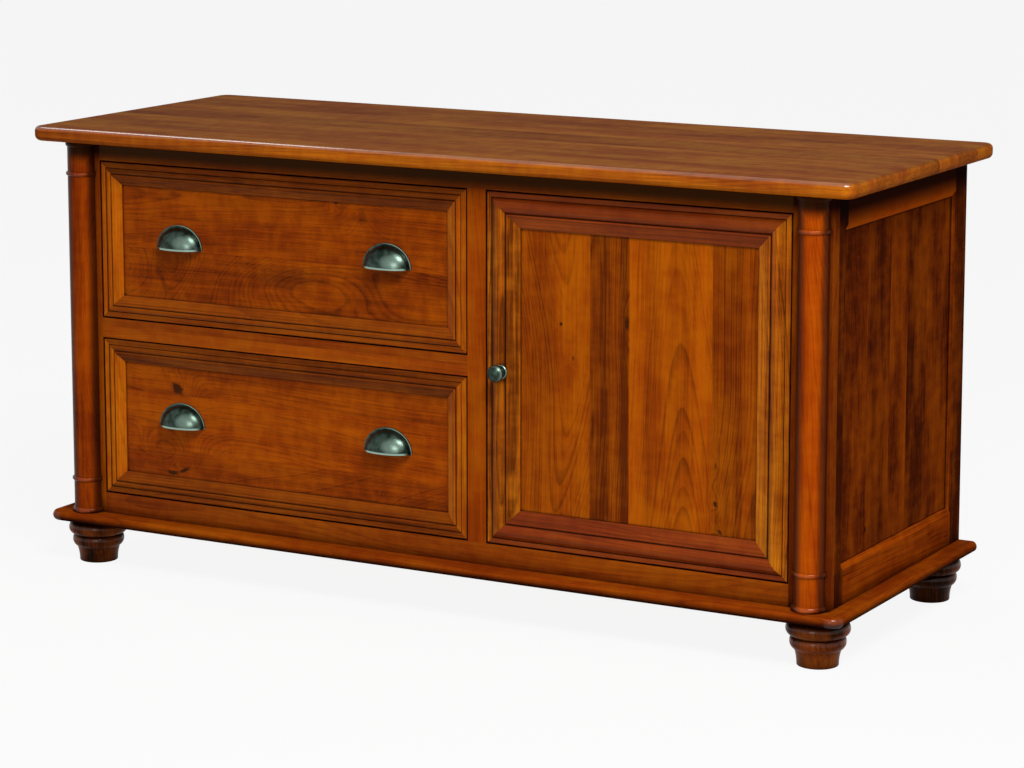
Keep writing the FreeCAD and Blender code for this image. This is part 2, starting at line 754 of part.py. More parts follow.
# ---- magnetic catch on the partition, and its strike on the door
strike_y = front_back_y + cup_flange
catch_z = opening_top - catch_drop
catch = block((partition_right, strike_y + catch_gap, catch_z - catch_height),
              (partition_right + catch_reach, strike_y + catch_gap + catch_depth, catch_z))
save("door_catch", catch.makeFillet(3.0, [e for e in catch.Edges if e.BoundBox.YLength > catch_depth / 2
                                          and e.BoundBox.XMin > partition_right + 1]))
strike_x = partition_right + catch_reach - catch_height / 2 - strike_radius / 2
save("catch_strike", rod(strike_radius, cup_flange, (strike_x, front_back_y, catch_z - catch_height / 2),
                         (0, 1, 0)))
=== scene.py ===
import math

import bmesh
import bpy
from mathutils import Matrix, Vector


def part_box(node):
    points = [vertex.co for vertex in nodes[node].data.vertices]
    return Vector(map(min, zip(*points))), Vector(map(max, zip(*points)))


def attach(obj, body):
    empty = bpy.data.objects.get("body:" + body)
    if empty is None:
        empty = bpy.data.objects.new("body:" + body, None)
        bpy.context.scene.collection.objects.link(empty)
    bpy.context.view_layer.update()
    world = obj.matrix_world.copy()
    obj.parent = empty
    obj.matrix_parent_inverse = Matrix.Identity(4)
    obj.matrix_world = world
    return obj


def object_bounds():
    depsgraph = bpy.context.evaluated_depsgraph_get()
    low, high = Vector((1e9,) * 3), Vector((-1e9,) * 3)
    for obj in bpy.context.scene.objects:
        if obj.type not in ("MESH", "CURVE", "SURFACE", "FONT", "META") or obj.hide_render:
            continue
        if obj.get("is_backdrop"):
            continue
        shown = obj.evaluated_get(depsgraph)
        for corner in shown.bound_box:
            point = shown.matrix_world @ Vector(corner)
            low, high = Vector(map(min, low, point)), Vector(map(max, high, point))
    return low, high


# An office credenza in stained cherry: two filing drawers and a framed door, in a case with half-round
# corner columns, on turned feet. Metres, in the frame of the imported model: x along the front to the
# right, y from the front to the back, z up from the floor.
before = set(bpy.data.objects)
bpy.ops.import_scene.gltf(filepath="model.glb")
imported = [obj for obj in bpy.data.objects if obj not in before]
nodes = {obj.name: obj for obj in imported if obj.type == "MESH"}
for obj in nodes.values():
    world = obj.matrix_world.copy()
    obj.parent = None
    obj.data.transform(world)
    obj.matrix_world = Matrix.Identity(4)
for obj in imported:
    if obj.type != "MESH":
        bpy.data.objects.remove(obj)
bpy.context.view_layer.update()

# ---- top board
# One slab of solid cherry, glued up from boards laid side by side along the front. It is moulded
# round its edge, sanded, wiped with a brown-red stain, sprayed with satin lacquer, and screwed on
# from inside.


def stain(red, green, blue):
    """A colour as it looks on a screen, 0 to 255 each, as the light that it sends back."""
    return tuple(((c / 255 + 0.055) / 1.055) ** 2.4 for c in (red, green, blue)) + (1.0,)


def fill(tree, node, inputs):
    """Give a node its inputs, each a value or another node's output."""
    for name, value in inputs.items():
        if isinstance(value, bpy.types.NodeSocket):
            tree.links.new(value, node.inputs[name])
        else:
            node.inputs[name].default_value = value
    return node


def add(tree, kind, inputs, **settings):
    """One shader node, with its settings and inputs."""
    node = tree.nodes.new("ShaderNode" + kind)
    for name, value in settings.items():
        setattr(node, name, value)
    return fill(tree, node, inputs)


def lay_in(tree, group, inputs):
    """One use of a node group in a material, as its outputs."""
    node = tree.nodes.new("ShaderNodeGroup")
    node.node_tree = group
    return fill(tree, node, inputs).outputs


def reckon(tree, operation, *values):
    """One step of arithmetic."""
    return add(tree, "Math", dict(enumerate(values)), operation=operation).outputs[0]


def chained(tree, operation, values):
    """One step of arithmetic, taken again with each further value."""
    result = values[0]
    for value in values[1:]:
        result = reckon(tree, operation, result, value)
    return result


def total(tree, *values):
    return chained(tree, "ADD", values)


def product(tree, *values):
    return chained(tree, "MULTIPLY", values)


def greatest(tree, *values):
    return chained(tree, "MAXIMUM", values)


def hypotenuse(tree, first, second):
    squares = total(tree, product(tree, first, first), product(tree, second, second))
    return reckon(tree, "SQRT", squares)


def laid_over(tree, factor, first, second):
    """One colour laid over another."""
    return add(tree, "Mix", {0: factor, 6: first, 7: second}, data_type="RGBA").outputs[2]


def eased(tree, value, low, high, to_low=0.0, to_high=1.0):
    """A value carried smoothly from one range to another, and held at its ends."""
    return add(tree, "MapRange", {"Value": value, "From Min": low, "From Max": high,
                                  "To Min": to_low, "To Max": to_high},
               interpolation_type="SMOOTHSTEP").outputs[0]


def coordinates(tree):
    """The x, y and z of a place on the object."""
    return add(tree, "SeparateXYZ", {0: add(tree, "TexCoord", {}).outputs["Object"]}).outputs


def stretched(tree, place, factors):
    return add(tree, "VectorMath", {0: place, 1: factors}, operation="MULTIPLY").outputs[0]


def mottle(tree, place, factors, detail=2.0, roughness=0.5):
    """Soft noise, with its own scale along each axis, per metre."""
    return add(tree, "TexNoise", {"Vector": stretched(tree, place, factors), "Scale": 1.0,
                                  "Detail": detail, "Roughness": roughness}).outputs["Fac"]


def new_group(name, inputs, outputs):
    """An empty node group. Its inputs are named numbers or kinds, and its outputs named kinds."""
    group = bpy.data.node_groups.new(name, "ShaderNodeTree")
    for label, given in inputs.items():
        kind = given if isinstance(given, str) else "Float"
        socket = group.interface.new_socket(label, in_out="INPUT", socket_type="NodeSocket" + kind)
        if not isinstance(given, str):
            socket.default_value = given
    for label, kind in outputs.items():
        group.interface.new_socket(label, in_out="OUTPUT", socket_type="NodeSocket" + kind)
    return group, group.nodes.new("NodeGroupInput").outputs, group.nodes.new("NodeGroupOutput")


def build_growth():
    """Growth rings where the face of a board cuts them, and the fibres, pores and clouds of the wood."""
    group, given, out = new_group(
        "wood_growth",
        {"Place": "Vector", "Seed": 0.0, "Ring Width": 0.0045, "Pith Depth": 0.06, "Taper": 0.03,
         "Rise": 0.0},
        {"Rings": "Float", "Fibre": "Float", "Cloud": "Float", "Streak": "Float", "Curl": "Float"})
    shift = add(group, "CombineXYZ", {axis: product(group, given["Seed"], step)
                                      for axis, step in enumerate((7.31, 1.37, 3.11))}).outputs[0]
    here = add(group, "VectorMath", {0: given["Place"], 1: shift}, operation="ADD").outputs[0]
    along, across, deep = add(group, "SeparateXYZ", {0: given["Place"]}).outputs
    # The pith of the tree strays sideways and in depth, and each ring ripples a little round it.
    stray, ripple, dip = 0.16, 0.008, 0.03
    sideways = total(group, across, product(group, mottle(group, here, (1.3, 0.3, 0.3), 1.0), stray),
                     -stray / 2, product(group, mottle(group, here, (5.0, 16.0, 16.0)), ripple))
    below = total(group, deep, given["Pith Depth"],
                  product(group, mottle(group, here, (2.4, 0.2, 0.2), 1.0), dip), -dip / 2)
    radius = total(group, hypotenuse(group, sideways, below), given["Rise"],
                   product(group, along, given["Taper"]))
    # Late wood darkens towards the end of each year's growth. No two years are as wide or as dark.
    patches_per_metre, spread = 60.0, 2.4
    uneven = add(group, "TexNoise", {"W": radius, "Scale": patches_per_metre, "Detail": 1.0},
                 noise_dimensions="1D")
    ring = total(group, reckon(group, "DIVIDE", radius, given["Ring Width"]),
                 product(group, uneven.outputs["Fac"], spread))
    part = reckon(group, "FRACT", ring)
    late_start, late_end = 0.35, 0.92
    late = product(group, eased(group, part, late_start, late_end), eased(group, part, 1.0, late_end))
    yearly = add(group, "TexWhiteNoise", {"W": reckon(group, "FLOOR", ring)}, noise_dimensions="1D")
    late = product(group, late, eased(group, yearly.outputs["Value"], 0.0, 1.0, 0.2, 1.0))
    fill(group, out, {"Rings": late, "Fibre": mottle(group, here, (9.0, 560.0, 560.0), 3.0, 0.6),
                      "Cloud": mottle(group, here, (4.0, 18.0, 18.0), 3.0, 0.55),
                      "Streak": mottle(group, here, (2.5, 150.0, 150.0), 3.0, 0.6),
                      "Curl": mottle(group, here, (42.0, 26.0, 26.0), 3.0, 0.6)})
    return group


def build_knot():
    """A small knot: how far it lifts the rings round it, and its dark heart."""
    group, given, out = new_group(
        "wood_knot",
        {"Place": "Vector", "Centre": "Vector", "Size": 0.006, "Dark": 1.0, "Turn": 0.0, "Slim": 0.5},
        {"Rise": "Float", "Heart": "Float"})
    away = add(group, "VectorMath", {0: given["Place"], 1: given["Centre"]}, operation="SUBTRACT")
    away = add(group, "VectorRotate", {"Vector": away.outputs[0], "Angle": given["Turn"]},
               rotation_type="Z_AXIS").outputs[0]
    flat = stretched(group, away, add(group, "CombineXYZ", {0: given["Slim"], 1: 1.0}).outputs[0])
    near = add(group, "VectorMath", {0: flat}, operation="LENGTH").outputs["Value"]
    near = reckon(group, "DIVIDE", near, given["Size"])
    lift, fading, ragged = 4.5, -0.10, 1.1
    fall = reckon(group, "EXPONENT", product(group, near, near, fading))
    edge = total(group, near, product(group, mottle(group, away, (170.0, 260.0, 260.0)), ragged),
                 -ragged / 2)
    fill(group, out, {"Rise": product(group, given["Size"], lift, fall),
                      "Heart": product(group, eased(group, edge, 1.2, 0.5), given["Dark"])})
    return group


def build_finish():
    """Stain and lacquer over the figure: colour, roughness, and the height of rings and pores."""
    group, given, out = new_group(
        "wiped_stain",
        {"Rings": 0.0, "Fibre": 0.5, "Cloud": 0.5, "Streak": 0.5, "Curl": 0.5, "Heart": 0.0, "Tone": 0.5,
         "Ring Mark": 0.24, "Cloud Mark": 0.38, "Streak Mark": 0.18, "Curl Mark": 0.13,
         "Fibre Mark": 0.27, "Glaze": 0.0, "Light": "Color", "Dark": "Color"},
        {"Color": "Color", "Roughness": "Float", "Height": "Float"})
    mean_ring, darkest = 0.3, 1.3
    marks = [product(group, total(group, given["Rings"], -mean_ring), given["Ring Mark"])]
    for label in ("Cloud", "Streak", "Curl", "Fibre"):
        swing = eased(group, given[label], 0.3, 0.7, -0.5, 0.5)
        marks.append(product(group, swing, given[label + " Mark"]))
    deep = total(group, given["Tone"], *marks)
    deep = greatest(group, reckon(group, "MINIMUM", deep, darkest), 0.0)
    colour = laid_over(group, deep, given["Light"], given["Dark"])
    # Under the stain the wood itself is more golden in one place and redder in another.
    golden = total(group, product(group, given["Cloud"], 0.6), product(group, given["Curl"], 0.4))
    green = eased(group, golden, 0.36, 0.64, 1.17, 0.85)
    colour = stretched(group, colour, add(group, "CombineXYZ", {0: 1.0, 1: green, 2: 1.0}).outputs[0])
    colour = laid_over(group, product(group, given["Heart"], 0.9), colour, stain(30, 12, 6))
    # Glaze and painted shade lay the same near-black over the colour.
    colour = laid_over(group, given["Glaze"], colour, stain(22, 7, 3))
    rough = total(group, product(group, given["Fibre"], 0.2), 0.25)
    height = total(group, product(group, given["Fibre"], -0.7), product(group, given["Rings"], -0.6))
    fill(group, out, {"Color": colour, "Roughness": rough, "Height": height})
    return group


wood_growth, wood_knot, wiped_stain = build_growth(), build_knot(), build_finish()
directions = {"X": (1, 0, 0), "Y": (0, 1, 0), "Z": (0, 0, 1), "XY": (1, 1, 0)}


def board_lines(tree, across, boards):
    """The tone of the board that a place across a panel falls on, the line that its figure is centred
    on, and how much its grain runs out. A board is given as the place where it starts and its tone, and
    if need be that line and that amount. The last entry ends the panel."""
    low, high = boards[0][0], boards[-1][0]
    place = add(tree, "MapRange", {"Value": across, "From Min": low, "From Max": high}).outputs[0]
    ramp = add(tree, "ValToRGB", {"Fac": place})
    ramp.color_ramp.interpolation = "CONSTANT"
    stops = ramp.color_ramp.elements
    stops.remove(stops[1])
    for count, (board, (end, *_)) in enumerate(zip(boards, boards[1:])):
        start, tone = board[:2]
        centre, run_out = board[2:] or ((start + end) / 2, count % 2 * 2 - 1)
        stop = stops[0] if start == low else stops.new((start - low) / (high - low))
        stop.color = (tone, (centre - low) / (high - low), (run_out + 1) / 2, 1.0)
    parts = add(tree, "SeparateColor", {0: ramp.outputs["Color"]}).outputs
    centre = total(tree, product(tree, parts[1], high - low), low)
    return parts[0], centre, total(tree, product(tree, parts[2], 2.0), -1.0)


def soft_bands(tree, across, bands):
    """How much darker the stain took here, from a few places across a panel and the change at each."""
    low, high = bands[0][0], bands[-1][0]
    part = add(tree, "MapRange", {"Value": across, "From Min": low, "From Max": high}).outputs[0]
    ramp = add(tree, "ValToRGB", {"Fac": part})
    ramp.color_ramp.interpolation = "EASE"
    stops = ramp.color_ramp.elements
    stops.remove(stops[1])
    for place, change in bands:
        stop = stops[0] if place == low else stops.new((place - low) / (high - low))
        stop.color = (change + 0.5,) * 3 + (1.0,)
    return total(tree, add(tree, "SeparateColor", {0: ramp.outputs["Color"]}).outputs[0], -0.5)


def stained_wood(name, grain, face, light, dark, boards, mirrored=False, marks=None, ring=0.0045,
                 pith=0.05, taper=0.03, knots=(), bands=None, glaze_and_shade=0.0, recess=0.006, more_glaze_and_shade=None,
                 gloss=0.15, tint=(1.0, 0.4, 0.02, 1.0), lacquer=0.006):
    """Stained and lacquered wood. grain names the directions along it, across its face and into it, and
    face is how far out the board's face lies in the last. A mirrored one counts that from the middle.
    A knot is its place along and across, its size, how dark it is, its turn in degrees, and its breadth
    as a share of its length. The darkening in recesses is partly glaze and partly painted shade. A
    further function may put nodes in the material for more glaze and painted shade besides the recesses,
    and light and lacquer may be such functions too."""
    material = bpy.data.materials.new(name)
    material.use_nodes = True
    tree = material.node_tree
    spot = add(tree, "TexCoord", {}).outputs["Object"]
    along, across, deep = [add(tree, "VectorMath", {0: spot, 1: directions[way]},
                               operation="DOT_PRODUCT").outputs["Value"] for way in grain]
    if mirrored:
        deep = reckon(tree, "ABSOLUTE", deep)
    deep = reckon(tree, "SUBTRACT", deep, face)
    tone, centre, run_out = board_lines(tree, across, boards)
    place, centred = [add(tree, "CombineXYZ", {0: along, 1: aside, 2: deep}).outputs[0]
                      for aside in (across, reckon(tree, "SUBTRACT", across, centre))]
    rise, heart = 0.0, 0.0
    for knot_along, knot_across, size, black, turn, slim in knots:
        knot = lay_in(tree, wood_knot, {"Place": place, "Centre": (knot_along, knot_across, 0.0),
                                        "Size": size, "Dark": black, "Turn": math.radians(turn),
                                        "Slim": slim})
        rise, heart = total(tree, knot["Rise"], rise), total(tree, knot["Heart"], heart)
    figure = lay_in(tree, wood_growth, {"Place": centred, "Seed": product(tree, tone, 41.0),
                                        "Ring Width": ring, "Pith Depth": pith, "Rise": rise,
                                        "Taper": product(tree, run_out, taper)})
    if bands:
        tone = total(tree, tone, soft_bands(tree, across, bands))
    light, lacquer = [value(tree) if callable(value) else value for value in (light, lacquer)]
    glaze_and_painted_shade = 0.0
    # The darkening in recesses, found by ambient occlusion, is partly glaze and partly painted shade.
    if glaze_and_shade:
        open_air = add(tree, "AmbientOcclusion", {"Distance": recess}, samples=6).outputs["AO"]
        glaze_and_painted_shade = eased(tree, open_air, 0.9, 0.35, 0.0, glaze_and_shade)
    # A piece's own function adds more glaze and painted shade, such as a painted shadow under the top.
    if more_glaze_and_shade:
        glaze_and_painted_shade = greatest(tree, glaze_and_painted_shade, more_glaze_and_shade(tree))
    look = {label: figure[label] for label in ("Rings", "Fibre", "Cloud", "Streak", "Curl")}
    look.update(Heart=heart, Tone=tone, Glaze=glaze_and_painted_shade, Light=light, Dark=dark)
    look.update(marks or {})
    finish = lay_in(tree, wiped_stain, look)
    bump = add(tree, "Bump", {"Height": finish["Height"], "Strength": 0.12, "Distance": 0.0004})
    fill(tree, tree.nodes["Principled BSDF"], {
        "Base Color": finish["Color"], "Roughness": finish["Roughness"], "Normal": bump.outputs[0],
        "Specular IOR Level": gloss, "Specular Tint": tint, "Coat Weight": lacquer,
        "Coat Roughness": 0.1})
    return material


def dress(material, *names):
    """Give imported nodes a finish."""
    for name in names:
        slots = nodes[name].data.materials
        for index in range(len(slots)):
            slots[index] = material


front_edge, top_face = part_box("top_board")[0].y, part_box("top_board")[1].z
top_boards = ((-0.300, 0.46), (-0.215, 0.58), (-0.125, 0.50), (-0.045, 0.66), (0.045, 0.44),
              (0.125, 0.60), (0.210, 0.48), (0.300, 0.5))


def edge_polish(tree):
    """The front arris is rubbed to a higher gloss than the rest of the board."""
    spot = coordinates(tree)
    above = eased(tree, spot[2], top_face - 0.006, top_face - 0.004)
    below = eased(tree, spot[2], top_face - 0.0001, top_face - 0.0007)
    front = eased(tree, spot[1], front_edge + 0.012, front_edge + 0.006)
    dull, bright = 0.03, 0.8
    return eased(tree, product(tree, above, below, front), 0.0, 1.0, dull, bright)


def top_sheen_and_edge_stain(tree):
    """The flat of the board is painted paler and greyer than the stain, as a painted sheen of its
    lacquer, while the moulded edge keeps the redder colour of the stain.
    """
    redder = eased(tree, coordinates(tree)[2], top_face - 0.001, top_face - 0.005)
    return laid_over(tree, redder, stain(148, 84, 29), stain(196, 100, 14))


top_cherry = stained_wood("top_cherry", ("X", "Y", "Z"), top_face, top_sheen_and_edge_stain, stain(92, 45, 12),
                          top_boards, gloss=0.0, lacquer=edge_polish)
top_cherry.node_tree.nodes["Principled BSDF"].inputs["Coat IOR"].default_value = 1.7
dress(top_cherry, "top_board")

# ---- face frame and corner columns
# Stiles and rails of solid cherry, doweled and glued flush, with a half-round turned column planted on
# each outer stile. A dark glaze was wiped on and left in the corners and turned grooves; painted shade
# further darkens those corners, the sides of the columns, and the wood under the top.
front_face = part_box("face_rail_top")[0].y
case_light, case_dark = stain(168, 76, 8), stain(100, 38, 4)
case_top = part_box("column_right")[1].z


def painted_shadow_under_top(tree, reach=0.04):
    """Painted shadow in the corner under the overhang of the top board."""
    fullest, most = reach * 0.4, 0.96
    return eased(tree, coordinates(tree)[2], case_top - reach, case_top - fullest, 0.0, most)


def painted_shadow_under_side_top(tree):
    """On the sides the painted shadow reaches further down."""
    return painted_shadow_under_top(tree, 0.062)


dress(stained_wood("face_stile_cherry", ("Z", "X", "Y"), front_face, case_light, case_dark,
                   ((-0.8, 0.5), (-0.3, 0.37), (0.3, 0.78), (0.8, 0.5)), glaze_and_shade=0.95, recess=0.035,
                   more_glaze_and_shade=painted_shadow_under_top, gloss=0.0),
      "face_stile_left", "face_stile_centre", "face_stile_right")
dress(stained_wood("face_rail_cherry", ("X", "Z", "Y"), front_face, case_light, case_dark,
                   ((0.05, 0.66), (0.2, 0.42), (0.42, 0.62), (0.8, 0.5)), glaze_and_shade=0.85, recess=0.025,
                   more_glaze_and_shade=painted_shadow_under_top),
      "face_rail_top", "face_rail_middle", "face_rail_bottom")
column_x = (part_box("column_right")[0].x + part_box("column_right")[1].x) / 2
column_shaft = 0.0254


def bead_polish(tree):
    """The turned beads stand proud of the shaft, and are rubbed to a higher gloss."""
    spot = coordinates(tree)
    aside = reckon(tree, "SUBTRACT", reckon(tree, "ABSOLUTE", spot[0]), column_x)
    ahead = reckon(tree, "SUBTRACT", spot[1], front_face)
    dull, side_gloss, crown_gloss = 0.006, 0.05, 0.3
    crown = eased(tree, reckon(tree, "ABSOLUTE", aside), column_shaft * 0.85, column_shaft * 0.5,
                  side_gloss, crown_gloss)
    proud = eased(tree, hypotenuse(tree, aside, ahead), column_shaft + 0.0006, column_shaft + 0.0018)
    below = eased(tree, spot[2], case_top - 0.02, case_top - 0.03)
    return total(tree, dull, product(tree, below, proud, crown))


def painted_column_shade(tree):
    """Painted shade down both sides of a column, more on its left side, and the painted shadow under the
    top.
    """
    x = coordinates(tree)[0]
    aside = reckon(tree, "SUBTRACT", x, product(tree, reckon(tree, "SIGN", x), column_x))
    most = 0.85
    return greatest(tree, eased(tree, aside, column_shaft * 0.05, column_shaft * -0.7, 0.0, most),
                    eased(tree, aside, column_shaft * 0.6, column_shaft, 0.0, most), painted_shadow_under_top(tree))


dress(stained_wood("column_cherry", ("Z", "X", "Y"), front_face, stain(180, 72, 3), stain(92, 31, 2),
                   ((-0.8, 0.66), (0.0, 0.40), (0.8, 0.5)), pith=0.03, glaze_and_shade=0.97, recess=0.03,
                   more_glaze_and_shade=painted_column_shade, gloss=0.08, lacquer=bead_polish, marks={"Cloud Mark": 0.5}),
      "column_left", "column_right")

# ---- framed sides
# A flat cherry panel, glued up from boards, floats in the grooves of two stiles and two rails. The
# frame is screwed to the case from inside.
side_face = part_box("side_right_panel")[1].x
side_light, side_dark = stain(146, 60, 4), stain(62, 22, 2)
side_boards = ((-0.3, 0.88), (-0.196, 0.52), (-0.10, 0.64), (-0.01, 0.50), (0.06, 0.68), (0.14, 0.54),
               (0.24, 0.82), (0.3, 0.5))
side_marks = {"Cloud Mark": 0.6, "Streak Mark": 0.12, "Curl Mark": 0.26, "Ring Mark": 0.14}
rail_low, rail_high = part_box("side_right_rails")
side_rail_width = 0.06


def panel_edges(tree):
    """Glaze left along the lines where the panel runs into its frame, and a painted shadow under the
    top.
    """
    spot, reach, most = coordinates(tree), 0.005, 0.95
    edges = [eased(tree, spot[axis], line, line + inward * reach, most, 0.0)
             for axis, line, inward in ((1, rail_low.y, 1), (1, rail_high.y, -1),
                                        (2, rail_low.z + side_rail_width, 1),
                                        (2, rail_high.z - side_rail_width, -1))]
    return greatest(tree, *edges, painted_shadow_under_side_top(tree))


# Each piece adds a painted shadow under the top; the panel also has glaze along its joints with the
# frame.
for wood_name, more_glaze_and_shade_at, pieces in (
        ("side_stile_cherry", painted_shadow_under_side_top, ("side_left_stiles", "side_right_stiles")),
        ("side_panel_cherry", panel_edges, ("side_left_panel", "side_right_panel"))):
    dress(stained_wood(wood_name, ("Z", "Y", "X"), side_face, side_light, side_dark, side_boards,
                       mirrored=True, marks=side_marks, glaze_and_shade=0.9, recess=0.04, more_glaze_and_shade=more_glaze_and_shade_at,
                       gloss=0.0, knots=((0.190, -0.097, 0.004, 1.0, 0, 0.7),)),
          *pieces)
dress(stained_wood("side_rail_cherry", ("Y", "Z", "X"), side_face, stain(184, 78, 5), stain(84, 30, 2),
                   ((0.0, 0.62), (0.4, 0.0), (0.8, 0.5)), mirrored=True, taper=0.1, pith=0.02, glaze_and_shade=0.9,
                   recess=0.04, more_glaze_and_shade=painted_shadow_under_side_top, gloss=0.0),
      "side_left_rails", "side_right_rails")

# ---- base boards
# Three flat cherry boards with a bullnosed edge, mitred at the front corners and screwed up into the
# case. The columns stand on them.
base_low, base_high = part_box("base_front")


def painted_shade_under_nose(tree):
    """Painted shade on the underside of the bullnose."""
    upper, lower, most = base_low.z + 0.015, base_low.z + 0.002, 0.96
    return eased(tree, coordinates(tree)[2], upper, lower, 0.0, most)


def corner_polish(tree):
    """The rounded corners are rubbed to a higher gloss than the boards."""
    spot = coordinates(tree)
    end = eased(tree, reckon(tree, "ABSOLUTE", spot[0]), base_high.x - 0.022, base_high.x - 0.014)
    front = eased(tree, spot[1], base_low.y + 0.022, base_low.y + 0.014)
    nose = eased(tree, spot[2], base_high.z - 0.0015, base_high.z - 0.003)
    dull, bright = 0.006, 0.4
    return eased(tree, product(tree, nose, end, front), 0.0, 1.0, dull, bright)


dress(stained_wood("base_front_cherry", ("X", "Y", "Z"), base_high.z, case_light, case_dark,
                   ((-0.4, 0.58), (0.4, 0.5)), glaze_and_shade=0.8, more_glaze_and_shade=painted_shade_under_nose, gloss=0.0,
                   lacquer=corner_polish),
      "base_front")
dress(stained_wood("base_side_cherry", ("Y", "X", "Z"), base_high.z, stain(158, 68, 5), stain(78, 29, 3),
                   ((-0.8, 0.5), (0.0, 0.48), (0.8, 0.5)), glaze_and_shade=0.8, more_glaze_and_shade=painted_shade_under_nose, gloss=0.0,
                   lacquer=corner_polish),
      "base_sides")

# ---- turned feet and their bolts
# Four feet turned from glued-up cherry, each on a plated bolt that screws up into the bearer above it.
# The stain lies darker on them, and glaze and painted shade darken them most of all in the coves.
ring_heights = (0.0635, 0.0415)


def ring_polish(tree):
    """The crowns of the two turned rings are rubbed to a higher gloss."""
    height = coordinates(tree)[2]
    away = [reckon(tree, "ABSOLUTE", total(tree, height, -crown)) for crown in ring_heights]
    dull, bright = 0.02, 0.34
    return eased(tree, reckon(tree, "MINIMUM", *away), 0.0035, 0.0015, dull, bright)


dress(stained_wood("foot_cherry", ("Z", "X", "Y"), 0.0, stain(134, 60, 18), stain(18, 6, 2),
                   ((-0.8, 0.72), (0.0, 0.66), (0.8, 0.5)),
                   marks={"Cloud Mark": 0.8, "Streak Mark": 0.2}, glaze_and_shade=0.97, recess=0.02, gloss=0.05,
                   lacquer=ring_polish),
      "foot_front_left", "foot_front_right", "foot_back_left", "foot_back_right")


def build_plating():
    """A thin plated or cast skin: fine scratches, blotches, and their colour and roughness."""
    group, given, out = new_group(
        "plated_skin",
        {"Clean": "Color", "Dull": "Color", "Wear And Highlight": 0.0, "Patina": 0.0, "Smooth": 0.25, "Rough": 0.5},
        {"Color": "Color", "Roughness": "Float", "Height": "Float"})
    spot = add(group, "TexCoord", {}).outputs["Object"]
    blotch = mottle(group, spot, (90.0, 90.0, 90.0), 4.0, 0.55)
    scratch = mottle(group, spot, (1500.0, 60.0, 1500.0), 2.0, 0.6)
    dulled = total(group, product(group, eased(group, blotch, 0.35, 0.65), 0.75),
                   product(group, scratch, 0.25))
    dulled = total(group, given["Patina"],
                   product(group, dulled, reckon(group, "SUBTRACT", 1.0, given["Patina"])))
    # Wear, and a painted highlight where one is given, take the dulling off.
    dulled = product(group, dulled, reckon(group, "SUBTRACT", 1.0, given["Wear And Highlight"]))
    fill(group, out, {"Color": laid_over(group, dulled, given["Clean"], given["Dull"]),
                      "Roughness": eased(group, dulled, 0.0, 1.0, given["Smooth"], given["Rough"]),
                      "Height": total(group, blotch, product(group, scratch, 0.3))})
    return group


plated_skin = build_plating()


def metal(name, clean, dull, smooth, rough, bump_depth=0.0001, wear_and_highlight=None, patina=0.0):
    """Plated or cast metal. A further function may put nodes in the material, for where it is rubbed
    bright and where a highlight is painted."""
    material = bpy.data.materials.new(name)
    material.use_nodes = True
    tree = material.node_tree
    skin = lay_in(tree, plated_skin, {"Clean": clean, "Dull": dull, "Smooth": smooth, "Rough": rough,
                                      "Wear And Highlight": wear_and_highlight(tree) if wear_and_highlight else 0.0, "Patina": patina})
    bump = add(tree, "Bump", {"Height": skin["Height"], "Strength": 0.3, "Distance": bump_depth})
    fill(tree, tree.nodes["Principled BSDF"], {
        "Base Color": skin["Color"], "Roughness": skin["Roughness"], "Normal": bump.outputs[0],
        "Metallic": 1.0})
    return material


nickel = metal("nickel_plate", stain(206, 203, 196), stain(160, 157, 150), smooth=0.18, rough=0.38)
dress(nickel, "foot_bolts")

# ---- inside of the case
# Bottom, bearers, partition, stretchers and packers of clear-lacquered hardwood, doweled and screwed.
# The shelf has the same boards and rests on four plated pins.
plain_light, plain_dark = stain(202, 142, 92), stain(146, 88, 48)
plain_marks = {"Cloud Mark": 0.22, "Ring Mark": 0.4, "Fibre Mark": 0.35}


def sand_edges(width, *names):
    """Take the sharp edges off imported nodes."""
    for name in names:
        bevel = nodes[name].modifiers.new("sanded_edges", "BEVEL")
        bevel.width = width
        bevel.segments = 2
        bevel.limit_method = "ANGLE"
        bevel.harden_normals = True


def inside_board(name, grain, boards):
    """Clear-lacquered hardwood, as the inside of the case has it."""
    return stained_wood(name, grain, 0.0, plain_light, plain_dark, boards, marks=plain_marks, glaze_and_shade=0.35,
                        tint=(1, 1, 1, 1), lacquer=0.0)


wide_boards = ((-0.3, 0.40), (-0.17, 0.52), (-0.05, 0.36), (0.08, 0.48), (0.19, 0.42), (0.3, 0.5))
dress(inside_board("inside_lying_boards", ("X", "Y", "Z"), wide_boards),
      "case_bottom", "shelf", "top_stretchers", "bottom_bearers")
dress(inside_board("inside_standing_boards", ("Z", "Y", "X"), wide_boards),
      "centre_partition", "side_packers")
dress(nickel, "shelf_pins")
sand_edges(0.001, "case_bottom", "shelf", "top_stretchers", "bottom_bearers", "centre_partition")

# ---- back panel and its screws
# One sheet of cherry-faced plywood, stained and left flat, let into rabbets in the framed sides. Zinc
# plated round-headed screws hold it all round, about 20 cm apart.
back_low, back_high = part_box("back_panel")
back_veneers = ((-0.8, 0.52), (-0.36, 0.44), (0.02, 0.56), (0.40, 0.46), (0.8, 0.5))
dress(stained_wood("back_plywood", ("Z", "X", "Y"), back_high.y, stain(158, 90, 44), stain(100, 53, 24),
                   back_veneers, ring=0.007, pith=0.03, marks={"Cloud Mark": 0.3, "Ring Mark": 0.45},
                   tint=(1, 1, 1, 1), lacquer=0.0),
      "back_panel")


